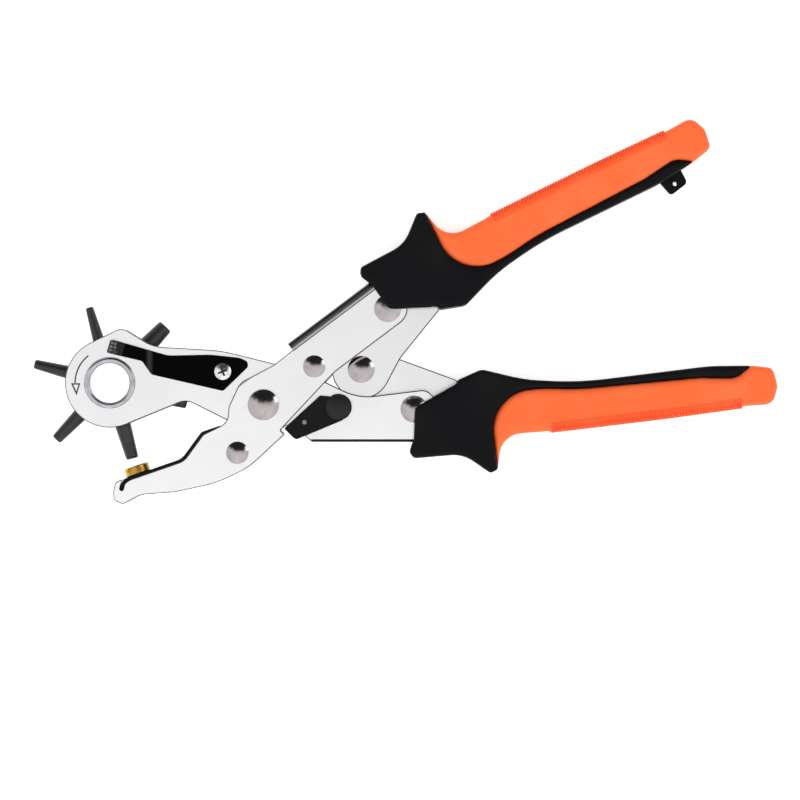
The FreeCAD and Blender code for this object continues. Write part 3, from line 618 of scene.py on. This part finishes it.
class Finish(Enum):
    """Every finish of the tool, by the surface it belongs to."""

    # Painted shade: the edge colour of every plate finish, and on JAW and HEAD the folded side, with a
    # crease line on JAW.
    JAW = PlateSteel("jaw_plate", (0.95, 0.95, 0.96), (0.11, 0.11, 0.12), 7.95, 37.0,
                     ("anvil_jaw_frame", 126.87), 1.7, 3.1)
    HEAD = PlateSteel("head_plate", (0.95, 0.95, 0.96), (0.09, 0.09, 0.10), 6.0, -8.0,
                      ("turret_jaw_frame", -90.0), 0.9)
    YOKE = PlateSteel("upper_handle_steel", (0.90, 0.90, 0.91), (0.10, 0.10, 0.11), 4.05, 45.0)
    BAR = PlateSteel("lower_handle_steel", (0.92, 0.92, 0.93), (0.10, 0.10, 0.11), 2.1, 0.0)
    RIVET = BrightSteel("rivet_head", (0.44, 0.40, 0.40), (0.36, 0.33, 0.33), 0.13, 420.0, 0.05)
    HUB = BrightSteel("hub_flange", (0.52, 0.52, 0.55), (0.38, 0.38, 0.41), 0.10)
    ZINC = BrightSteel("zinc_pin", (0.74, 0.76, 0.80), (0.58, 0.59, 0.62), 0.26, 500.0)
    SCREW = CrossScrew("zinc_screw", (0.82, 0.83, 0.85), (0.55, 0.56, 0.58), (0.035, 0.035, 0.037),
                       "index_screw")
    PLAIN = BrightSteel("plain_steel", (0.55, 0.56, 0.58), (0.42, 0.43, 0.45), 0.34)
    WIRE = BrightSteel("spring_wire", (0.36, 0.37, 0.39), (0.25, 0.26, 0.27), 0.30, 400.0)
    BRASS = BrightSteel("anvil_brass", (0.56, 0.33, 0.060), (0.26, 0.14, 0.022), 0.30, 420.0, 0.03)
    OXIDE = DarkCoat("black_oxide", (0.012, 0.012, 0.013), (0.024, 0.024, 0.026), 0.36, 0.0, 0.45)
    SPRING = BentLeaf("spring_black", (0.0012, 0.0012, 0.0012), (0.034, 0.034, 0.035), "index_spring")
    PAD = KnurledPad("pad_black", (0.003, 0.003, 0.003), (0.17, 0.17, 0.18), "index_pad")
    # Black coat of the anvil bar; its near-black tone is also painted shade for the shadow line along the
    # jaw's inner edge.
    DARK_BAR = DarkCoat("bar_black", (0.006, 0.006, 0.006), (0.012, 0.012, 0.013), 0.40, 0.0, 0.1)
    LATCH = LatchPlastic("latch_plastic", (0.0045, 0.0045, 0.0048), (0.22, 0.22, 0.22), "latch_lever")
    BOSS = MouldedPlastic("latch_boss", (0.007, 0.007, 0.007), (0.014, 0.014, 0.014), 0.30, 0.006, 0.20)
    BLACK = MouldedPlastic("grip_black", (0.0040, 0.0044, 0.0052), (0.0065, 0.0065, 0.0072), 0.50, 0.02,
                           0.08)
    # The ribs are the cover's own orange; their darker tone is painted shade standing in for the shadows
    # between the ribs.
    RIB = MouldedPlastic("shaded_rib_orange", (0.92, 0.108, 0.026), (0.97, 0.130, 0.034), 0.50, 0.010, 0.15)
    ORANGE = MouldedPlastic("grip_orange", (1.0, 0.150, 0.037), (1.0, 0.175, 0.052), 0.48, 0.010, 0.20)


class Paints:
    """Materials, each made once."""

    def __init__(self) -> None:
        """Starts with no material made."""
        self.made: dict[Finish, bpy.types.Material] = {}

    def dress(self, obj: bpy.types.Object, finish: Finish) -> None:
        """Gives a mesh one finish.

        Args:
            obj: The mesh object.
            finish: Its finish.
        """
        if finish not in self.made:
            self.made[finish] = finish.value.build()
        obj.data.materials.clear()
        obj.data.materials.append(self.made[finish])


# ---------------------------------------------------------------- modelling helpers
def deselect() -> None:
    """Clears the selection, so that an operator acts on one piece only."""
    if bpy.context.object is not None and bpy.context.object.mode != "OBJECT":
        bpy.ops.object.mode_set(mode="OBJECT")
    bpy.ops.object.select_all(action="DESELECT")


def choose(obj: bpy.types.Object) -> None:
    """Selects one object and makes it active.

    Args:
        obj: The object.
    """
    deselect()
    obj.select_set(True)
    bpy.context.view_layer.objects.active = obj


def rounded(corners: Sequence[Corner], step: float = 0.7) -> list[Point]:
    """Walks round an outline whose corners are rounded by arcs.

    Args:
        corners: Each corner's x, y and radius.
        step: Longest chord along an arc.

    Returns:
        The outline's points.
    """
    points: list[Point] = []
    for i, (x, y, radius) in enumerate(corners):
        here = Vector((x, y))
        back = (Vector(corners[i - 1][:2]) - here).normalized()
        ahead = (Vector(corners[(i + 1) % len(corners)][:2]) - here).normalized()
        half = back.angle(ahead) / 2
        if radius == 0 or half > math.radians(STRAIGHT):
            points.append((x, y))
            continue
        centre = here + (back + ahead).normalized() * (radius / math.sin(half))
        start = here + back * (radius / math.tan(half)) - centre
        sweep = (here + ahead * (radius / math.tan(half)) - centre).angle_signed(start)
        count = max(3, math.ceil(abs(sweep) * radius / step))
        first = math.atan2(start.y, start.x)
        for k in range(count + 1):
            turn = first + sweep * k / count
            points.append((centre.x + radius * math.cos(turn), centre.y + radius * math.sin(turn)))
    return points


def slab(name: str, points: Sequence[Point], low: float, high: float) -> bpy.types.Object:
    """Extrudes an outline between two heights.

    Args:
        name: The piece's name.
        points: The outline, in metres.
        low: Lower height in metres.
        high: Upper height in metres.

    Returns:
        The closed prism.
    """
    deselect()
    bpy.ops.mesh.primitive_circle_add(vertices=len(points), radius=1.0, fill_type="NGON",
                                      location=(0, 0, 0))
    obj = bpy.context.object
    obj.name = name
    for vertex, (x, y) in zip(obj.data.vertices, points):
        vertex.co = (x, y, low)
    bpy.ops.object.mode_set(mode="EDIT")
    bpy.ops.mesh.select_all(action="SELECT")
    bpy.ops.mesh.extrude_region_move(TRANSFORM_OT_translate={"value": (0, 0, high - low)})
    bpy.ops.mesh.select_all(action="SELECT")
    bpy.ops.mesh.normals_make_consistent(inside=False)
    bpy.ops.object.mode_set(mode="OBJECT")
    return obj


def modify(obj: bpy.types.Object, kind: str, **settings: Any) -> None:
    """Adds a modifier and applies it.

    Args:
        obj: The mesh object.
        kind: The modifier's type.
        **settings: The modifier's properties.
    """
    choose(obj)
    modifier = obj.modifiers.new(kind.lower(), kind)
    for key, setting in settings.items():
        setattr(modifier, key, setting)
    bpy.ops.object.modifier_apply(modifier=modifier.name)


def bevel(obj: bpy.types.Object, width: float, segments: int) -> None:
    """Rounds the sharp edges of a piece.

    Args:
        obj: The mesh object.
        width: Width of the rounding in millimetres.
        segments: Facets across the rounding.
    """
    modify(obj, "BEVEL", width=width * MM, segments=segments, limit_method="ANGLE",
           angle_limit=math.radians(SHARP))


def cut(obj: bpy.types.Object, cutter: bpy.types.Object) -> None:
    """Takes one piece out of another and removes the cutter.

    Args:
        obj: The piece that is cut.
        cutter: The piece that is taken out.
    """
    modify(obj, "BOOLEAN", operation="DIFFERENCE", solver="EXACT", object=cutter)
    bpy.data.objects.remove(cutter)


def edge_distance(places: np.ndarray, points: Sequence[Point]) -> np.ndarray:
    """Distance of plan positions from an outline.

    Args:
        places: Positions, one (x, y) row each, in metres.
        points: The outline, in metres.

    Returns:
        Each position's distance from the nearest side, in metres.
    """
    nearest = np.full(len(places), np.inf)
    starts = np.array(points)
    for start, end in zip(starts, np.roll(starts, -1, axis=0)):
        side = end - start
        share = np.clip(((places - start) @ side) / max(side @ side, 1e-12), 0.0, 1.0)
        nearest = np.minimum(nearest, np.linalg.norm(places - start - share[:, None] * side, axis=1))
    return nearest


def crowned(obj: bpy.types.Object, points: Sequence[Point], half: float, radius: float, voxel: float,
            passes: int = 3) -> None:
    """Turns a prism into a smooth moulded solid whose two faces roll over at the outline.

    Args:
        obj: The prism, about the mid-plane.
        points: Its outline, in metres.
        half: Half its thickness in millimetres.
        radius: Radius of the roll in millimetres.
        voxel: Size of the new faces in millimetres.
        passes: Passes of smoothing.
    """
    modify(obj, "REMESH", mode="VOXEL", voxel_size=voxel * MM, use_smooth_shade=True)
    places = np.zeros(len(obj.data.vertices) * 3)
    obj.data.vertices.foreach_get("co", places)
    places = places.reshape(-1, 3)
    inset = radius - np.minimum(edge_distance(places[:, :2], points) / MM, radius)
    height = half - radius + np.sqrt(radius ** 2 - inset ** 2)
    places[:, 2] = MID_PLANE * MM + (places[:, 2] - MID_PLANE * MM) * height / half
    obj.data.vertices.foreach_set("co", places.ravel())
    obj.data.update()
    modify(obj, "SMOOTH", factor=0.5, iterations=passes)
    choose(obj)
    bpy.ops.object.shade_smooth()


# ---------------------------------------------------------------- grips
@dataclass
class Mould:
    """Frame of one grip: along the handle and out to its ribbed side.

    Attributes:
        origin: Link rivet's centre in the row frame.
        bearing: Direction of the grip in degrees.
        side: 1 for the upper grip, -1 for its mirror image below.
    """

    origin: Vector
    bearing: float
    side: int

    def at(self, along: float, across: float) -> Point:
        """Row-frame position in metres of a point of the grip's own frame."""
        cos, sin = math.cos(math.radians(self.bearing)), math.sin(math.radians(self.bearing))
        x = self.origin.x + (along * cos - self.side * across * sin) * MM
        y = self.origin.y + (along * sin + self.side * across * cos) * MM
        return (x, y)

    def along(self, place: Vector) -> float:
        """Distance of a row-frame point along the grip, in millimetres."""
        cos, sin = math.cos(math.radians(self.bearing)), math.sin(math.radians(self.bearing))
        return ((place.x - self.origin.x) * cos + (place.y - self.origin.y) * sin) / MM

    def outline(self, corners: Sequence[Corner]) -> list[Point]:
        """Rounded outline of the grip's own frame, in metres of the row frame."""
        return [self.at(x, y) for x, y in rounded(corners)]

    def slab(self, name: str, corners: Sequence[Corner], half: float) -> bpy.types.Object:
        """Prism about the mid-plane on an outline of the grip's own frame.

        Args:
            name: The piece's name.
            corners: The outline's corners.
            half: Half the prism's thickness.

        Returns:
            The prism.
        """
        return slab(name, self.outline(corners), (MID_PLANE - half) * MM, (MID_PLANE + half) * MM)


@dataclass
class Grip:
    """One handle grip: black body, soft orange cover and the ribs along its outer side.

    Attributes:
        word: "upper" or "lower".
        mould: The grip's frame.
        paints: Where finishes come from.
        shroud_half: Half the thickness of the shroud; strip_half and cover_half are those of the black
            strip and of the cover.
        shroud_roll: Radius of the shroud's rolled edges; cover_roll is the cover's.
        taper: Distances along the grip where the shroud starts and ends thinning into the strip.
        voxel: Size of the moulded faces.
        rib_start: Where the first rib stands along the grip; rib_end is the limit for the last.
        rib_wrap: How far a rib reaches in from the outer side; rib_rise is how far it stands out of it,
            and rib_proud how far out of the faces.
        rib_round: Rounding where a rib turns onto a face, in rib_facets facets.
        rib_edge: Rounding of a rib's other edges.
        rib_crease: Angle in degrees from which a rib's edge is shaded sharp; body_crease is the body's.
        near: Distance within which a corner counts as lying on the outer side.
        guard_tip: Tip of the finger guard.
        toe: Point where the strip meets the cover at the grip's end.
        parting: Line between black and orange.
        mouth: Outline round the handle's end of the shroud.
        inside: Inner side of the black body, from the toe back to the shroud.
        crown: Outer side of the cover, from the toe back to the guard.
        crown_line: Points of the outer side between the first rib and the last.
        cavity: Hollow of the shroud, cavity_half to each side of the mid-plane.
    """

    word: str
    mould: Mould
    paints: Paints
    shroud_half: float = 11.0
    strip_half: float = 9.0
    cover_half: float = 10.0
    shroud_roll: float = 1.5
    cover_roll: float = 2.4
    taper: tuple[float, float] = (26.0, 42.0)
    voxel: float = 0.5
    rib_start: float = 47.4
    rib_end: float = 113.4
    rib_pitch: float = 1.0
    rib_width: float = 0.52
    rib_rise: float = 0.42
    rib_wrap: float = 3.2
    rib_round: float = 1.2
    rib_proud: float = 0.30
    rib_facets: int = 5
    rib_edge: float = 0.14
    rib_crease: float = 50.0
    body_crease: float = 45.0
    near: float = 0.05
    guard_tip: ClassVar[Corner] = (27.3, 23.4, 0.0)
    toe: ClassVar[Corner] = (118.3, -5.0, 0.0)
    parting: ClassVar[tuple[Corner, ...]] = (
        (26.0, -3.2, 14), (46.0, -3.3, 60), (57.0, -2.0, 90), (100.0, -2.3, 20), (112.5, -1.1, 6))
    mouth: ClassVar[tuple[Corner, ...]] = (
        (0.3, -0.2, 0.6), (-1.2, 10.7, 2), (-3.0, 14.8, 0.8), (-1.6, 17.1, 1.2), (15.6, 17.1, 12),
        (24.6, 24.6, 1.2))
    inside: ClassVar[tuple[Corner, ...]] = (
        (104.0, -6.1, 60), (58.0, -4.4, 120), (39.5, -6.9, 60), (24.6, -11.8, 3), (16.2, -8.9, 0.3),
        (15.6, -7.7, 0.3), (2.4, -1.6, 1))
    crown: ClassVar[tuple[Corner, ...]] = (
        (125.7, -3.6, 2.6), (126.9, 3.0, 4), (124.6, 9.2, 4), (119.0, 9.0, 0), (114.6, 8.9, 2.5),
        (113.4, 9.3, 2.5), (88.0, 10.6, 60), (60.0, 11.6, 80), (47.2, 12.1, 2.5), (45.8, 11.7, 2.5),
        (29.6, 11.7, 8))
    crown_line: ClassVar[tuple[Point, ...]] = ((45.8, 12.05), (60.0, 11.6), (88.0, 10.6), (113.4, 9.3))
    cavity: ClassVar[tuple[Corner, ...]] = (
        (-8.0, -15.0, 0), (15.2, -15.0, 0), (15.2, -6.5, 1), (11.5, 2.0, 3), (11.5, 12.0, 2),
        (9.0, 15.2, 2), (-8.0, 15.2, 0))
    cavity_half: float = 9.6

    @property
    def body(self) -> str:
        """Name of the body the grip rides on."""
        return f"{self.word}_handle"

    def crown_height(self, along: float) -> float:
        """Height of the outer side at a distance along the grip.

        Args:
            along: Distance along the grip.

        Returns:
            The height across the grip.
        """
        for (x0, y0), (x1, y1) in zip(self.crown_line, self.crown_line[1:]):
            if along <= x1:
                return y0 + (y1 - y0) * (along - x0) / (x1 - x0)
        return self.crown_line[-1][1]

    def black_body(self) -> bpy.types.Object:
        """Shroud with its hollow and finger guard, thinning into the strip behind it."""
        outline = (*self.mouth, self.guard_tip, *self.parting, self.toe, *self.inside)
        obj = self.mould.slab(f"{self.word}_grip_body", outline, self.shroud_half)
        crowned(obj, self.mould.outline(outline), self.shroud_half, self.shroud_roll, self.voxel)
        start, end = self.taper
        for vertex in obj.data.vertices:
            share = min(1.0, max(0.0, (self.mould.along(vertex.co) - start) / (end - start)))
            share = share * share * (3 - 2 * share)
            scale = 1.0 + share * (self.strip_half / self.shroud_half - 1.0)
            vertex.co.z = MID_PLANE * MM + (vertex.co.z - MID_PLANE * MM) * scale
        cut(obj, self.mould.slab("hollow", self.cavity, self.cavity_half))
        choose(obj)
        bpy.ops.object.shade_smooth_by_angle(angle=math.radians(self.body_crease))
        self.paints.dress(obj, Finish.BLACK)
        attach(obj, self.body)
        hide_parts(f"{self.word}_grip_core")
        return obj

    def orange_cover(self) -> bpy.types.Object:
        """Soft crowned cover on the outer side."""
        outline = (self.guard_tip, *self.parting, self.toe, *self.crown)
        obj = self.mould.slab(f"{self.word}_grip_soft_cover", outline, self.cover_half)
        crowned(obj, self.mould.outline(outline), self.cover_half, self.cover_roll, self.voxel)
        self.paints.dress(obj, Finish.ORANGE)
        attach(obj, self.body)
        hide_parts(f"{self.word}_grip_cover")
        return obj

    def rib(self, along: float) -> bpy.types.Object:
        """One rib that wraps the outer side and ends on both faces.

        Args:
            along: Its distance along the grip.

        Returns:
            The rib.
        """
        height = self.crown_height(along)
        low, high = height - self.rib_wrap, height + self.rib_rise
        half = self.rib_width / 2
        corners = ((along - half, low, 0), (along + half, low, 0), (along + half, high, 0),
                   (along - half, high, 0))
        obj = self.mould.slab("rib", corners, self.cover_half + self.rib_proud)
        choose(obj)
        bpy.ops.object.mode_set(mode="EDIT")
        bpy.ops.mesh.select_mode(type="EDGE")
        bpy.ops.mesh.select_all(action="DESELECT")
        bpy.ops.object.mode_set(mode="OBJECT")
        for edge in obj.data.edges:
            first, last = (obj.data.vertices[v].co for v in edge.vertices)
            outer = self.is_outer(first, high) and self.is_outer(last, high)
            level = abs(first.z - last.z) < MM
            edge.select = outer and level and abs(self.mould.along(first) - self.mould.along(last)) > half
        bpy.ops.object.mode_set(mode="EDIT")
        bpy.ops.mesh.bevel(offset=self.rib_round * MM, segments=self.rib_facets, affect="EDGES")
        bpy.ops.object.mode_set(mode="OBJECT")
        return obj

    def is_outer(self, place: Vector, high: float) -> bool:
        """Whether a point lies on the outermost side of a rib.

        Args:
            place: The point in the row frame.
            high: The rib's height across the grip.

        Returns:
            True on the outermost side.
        """
        x, y = self.mould.at(self.mould.along(place), high)
        return (Vector((x, y)) - place.xy).length < self.near * MM

    def ribs(self) -> bpy.types.Object:
        """All ribs of the grip, as one piece."""
        count = int((self.rib_end - self.rib_start) / self.rib_pitch) + 1
        made = [self.rib(self.rib_start + i * self.rib_pitch) for i in range(count)]
        deselect()
        for obj in made:
            obj.select_set(True)
        bpy.context.view_layer.objects.active = made[0]
        bpy.ops.object.join()
        obj = made[0]
        obj.name = f"{self.word}_grip_ribs"
        bevel(obj, self.rib_edge, 2)
        choose(obj)
        bpy.ops.object.shade_smooth_by_angle(angle=math.radians(self.rib_crease))
        # The ribs get the darker orange of painted shade.
        self.paints.dress(obj, Finish.RIB)
        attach(obj, self.body)
        return obj

    def build(self) -> list[bpy.types.Object]:
        """Builds and dresses the whole grip.

        Returns:
            Its pieces.
        """
        return [self.black_body(), self.orange_cover(), self.ribs()]


# ---------------------------------------------------------------- parts shown as packed
@dataclass
class PackedParts:
    """The plates, rivets, tubes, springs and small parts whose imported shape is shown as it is.

    Attributes:
        nodes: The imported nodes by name.
        paints: Where finishes come from.
    """

    nodes: dict[str, bpy.types.Object]
    paints: Paints
    finishes: ClassVar[dict[str, Finish]] = {
        "turret_jaw_frame": Finish.HEAD, "hub_eyelet": Finish.HUB, "index_spring": Finish.SPRING,
        "index_screw": Finish.SCREW, "head_standoff": Finish.PLAIN, "pivot_sleeve": Finish.PLAIN,
        "latch_pin": Finish.BOSS, "opening_spring": Finish.WIRE, "turret_wheel": Finish.OXIDE,
        "index_pad": Finish.PAD, "index_pin": Finish.ZINC, "anvil_jaw_frame": Finish.JAW,
        "anvil_bar": Finish.DARK_BAR, "anvil": Finish.BRASS, "stop_sleeve": Finish.PLAIN,
        "upper_handle_plate_front": Finish.YOKE, "upper_handle_plate_rear": Finish.YOKE,
        "lower_handle_bar": Finish.BAR, "latch_lever": Finish.LATCH,
        "hang_tab": Finish.BLACK}

    def finish_of(self, name: str) -> Optional[Finish]:
        """Finish of a node, from its name.

        Args:
            name: The node's name.

        Returns:
            The finish, or None for a node that another piece stands for.
        """
        if name.startswith("punch_tube"):
            return Finish.OXIDE
        if name.endswith("_rivet"):
            return Finish.RIVET
        if "washer" in name:
            return Finish.PLAIN
        return self.finishes.get(name)

    def build(self) -> list[bpy.types.Object]:
        """Dresses every node that stays in view.

        Returns:
            The dressed nodes.
        """
        dressed = []
        for name, obj in sorted(self.nodes.items()):
            finish = self.finish_of(name)
            if finish is not None:
                self.paints.dress(obj, finish)
                dressed.append(obj)
        return dressed


# ---------------------------------------------------------------- stage
@dataclass
class Studio:
    """Pale floor, soft light and the camera."""

    aim: Point = (-1.62, -30.72)
    view_width: float = 280.0
    lens: float = 180.0
    sensor: float = 36.0
    floor_size: float = 8.0
    floor_glow: float = 0.55
    cloud_place: Colour = (0.02, 0.52, 0.0)
    cloud_shape: Colour = (1.3, 2.7, 0.0)

    def floor(self) -> None:
        """Lays the floor under the tool."""
        deselect()
        bpy.ops.mesh.primitive_plane_add(size=self.floor_size, location=(0, 0, -0.0002))
        obj = bpy.context.object
        obj.name = "floor"
        graph = Graph("floor_paper")
        tone = graph.noise(3.0, 2.0)
        colour = graph.mixed(tone, (0.93, 0.93, 0.93), (0.95, 0.95, 0.95))
        paper = graph.finish(Base_Color=colour, Roughness=0.9, Emission_Color=(1.0, 1.0, 1.0),
                             Emission_Strength=self.floor_glow)
        obj.data.materials.append(paper)

    def lamp(self, name: str, place: Colour, size: float, power: float, mirrored: bool = True) -> None:
        """Hangs one soft square lamp that faces the tool.

        Args:
            name: The lamp's name.
            place: Where it hangs, in metres.
            size: Side of its square in metres.
            power: Its power in watts.
            mirrored: Whether the lamp shows in polished metal.
        """
        data = bpy.data.lights.new(name, "AREA")
        data.size = size
        data.energy = power
        obj = bpy.data.objects.new(name, data)
        obj.visible_glossy = mirrored
        obj.location = place
        obj.rotation_mode = "QUATERNION"
        obj.rotation_quaternion = (-Vector(place)).to_track_quat("-Z", "Y")
        bpy.context.scene.collection.objects.link(obj)

    def sky(self) -> None:
        """Soft surroundings: bright overhead, near and at both ends, with a dark cloud beyond."""
        world = bpy.data.worlds.new("studio")
        bpy.context.scene.world = world
        world.use_nodes = True
        tree = world.node_tree
        tree.nodes.clear()
        links = tree.links

        def add(kind: str, inputs: dict[Any, Any], **settings: Any) -> bpy.types.Node:
            """Adds a node, sets it and feeds it."""
            made = tree.nodes.new(kind)
            for key, setting in settings.items():
                setattr(made, key, setting)
            for key, feed in inputs.items():
                if isinstance(feed, bpy.types.NodeSocket):
                    links.new(feed, made.inputs[key])
                else:
                    made.inputs[key].default_value = feed
            return made

        place = add("ShaderNodeTexCoord", {})
        split = add("ShaderNodeSeparateXYZ", {0: place.outputs["Generated"]})
        half = {axis: add("ShaderNodeMapRange", {"From Min": -1.0, "Value": split.outputs[axis]})
                for axis in "XYZ"}
        rise, side, ends = (add("ShaderNodeValToRGB", {0: half[axis].outputs[0]}) for axis in "ZYX")
        self.stops(rise, ((0.0, 0.60), (0.5, 0.50), (0.75, 0.92), (0.90, 1.06), (1.0, 1.03)))
        self.stops(side, ((0.0, 1.35), (0.4, 1.15), (0.49, 1.02), (0.54, 0.80), (0.60, 0.42),
                          (0.70, 0.22), (0.92, 0.28), (0.97, 0.80), (1.0, 0.85)))
        self.stops(ends, ((0.0, 1.0), (0.34, 1.0), (0.44, 0.0), (0.72, 0.0), (0.82, 1.0), (1.0, 1.0)))
        spread = add("ShaderNodeMix", {0: ends.outputs[0], 6: side.outputs[0], 7: (1.1, 1.1, 1.1, 1.0)},
                     data_type="RGBA")
        offset = add("ShaderNodeVectorMath", {0: place.outputs["Generated"], 1: self.cloud_place},
                     operation="SUBTRACT")
        flat = add("ShaderNodeVectorMath", {0: offset.outputs[0], 1: self.cloud_shape},
                   operation="MULTIPLY")
        away = add("ShaderNodeVectorMath", {0: flat.outputs[0]}, operation="LENGTH")
        rough = add("ShaderNodeTexNoise", {"Vector": place.outputs["Generated"], "Scale": 5.0,
                                           "Detail": 3.0})
        ragged = add("ShaderNodeMath", {0: rough.outputs[0], 1: 0.9, 2: away.outputs["Value"]},
                     operation="MULTIPLY_ADD")
        cloud = add("ShaderNodeMapRange", {"Value": ragged.outputs[0], "From Min": 1.15,
                                           "From Max": 1.65}, interpolation_type="SMOOTHSTEP")
        dark = add("ShaderNodeMix", {0: cloud.outputs[0], 6: (0.03, 0.03, 0.03, 1.0),
                                     7: spread.outputs[2]}, data_type="RGBA")
        lit = add("ShaderNodeMix", {0: 1.0, 6: rise.outputs[0], 7: dark.outputs[2]}, data_type="RGBA",
                  blend_type="MULTIPLY")
        seen = add("ShaderNodeLightPath", {})
        pick = add("ShaderNodeMix", {0: seen.outputs["Is Camera Ray"], 6: lit.outputs[2],
                                     7: (1.0, 1.0, 1.0, 1.0)}, data_type="RGBA")
        back = add("ShaderNodeBackground", {0: pick.outputs[2]})
        add("ShaderNodeOutputWorld", {0: back.outputs[0]})

    @staticmethod
    def stops(ramp: bpy.types.Node, stops: Sequence[Point]) -> None:
        """Sets a grey ramp's stops.

        Args:
            ramp: The ramp node.
            stops: Each stop's place and brightness, in rising order.
        """
        elements = ramp.color_ramp.elements
        elements[0].position, elements[1].position = stops[0][0], stops[-1][0]
        for place, _ in stops[1:-1]:
            elements.new(place)
        for element, (_, grey) in zip(elements, stops):
            element.color = (grey, grey, grey, 1.0)

    def camera(self) -> None:
        """Sets the camera straight over the tool, with the turret on the left."""
        data = bpy.data.cameras.new("camera")
        data.lens = self.lens
        data.sensor_width = self.sensor
        distance = self.view_width * MM * self.lens / self.sensor
        obj = bpy.data.objects.new("camera", data)
        obj.location = (self.aim[0] * MM, self.aim[1] * MM, MID_PLANE * MM + distance)
        data.clip_end = 20.0
        bpy.context.scene.collection.objects.link(obj)
        bpy.context.scene.camera = obj

    def build(self) -> None:
        """Builds the whole stage."""
        self.floor()
        self.sky()
        self.lamp("overhead", (0.0, 0.2, 2.4), 2.6, 21.0, mirrored=False)
        self.lamp("right", (1.5, 0.7, 1.3), 0.7, 3.0)
        self.camera()


def joint_place(joints: Iterable[dict[str, Any]], name: str) -> Vector:
    """Position of a joint in the row frame.

    Args:
        joints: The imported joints.
        name: The joint's name.

    Returns:
        Its position in metres.
    """
    return Vector(next(j["pos_m"] for j in joints if j["name"] == name))


def main() -> None:
    """Builds the tool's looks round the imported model."""
    logging.basicConfig(level=logging.INFO, format="%(message)s")
    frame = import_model()
    paints = Paints()
    upper = Mould(joint_place(frame["joints"], "upper_handle_link"), 28.05, 1)
    lower = Mould(joint_place(frame["joints"], "lower_handle_link"), 4.95, -1)
    assemblies = (PackedParts(frame["nodes"], paints), Grip("upper", upper, paints),
                  Grip("lower", lower, paints))
    for assembly in assemblies:
        for piece in assembly.build():
            LOG.info("%s: %d faces", piece.name, len(piece.data.polygons))
    Studio().build()
    bpy.context.scene.view_settings.view_transform = "Standard"


if __name__ == "__main__":
    main()
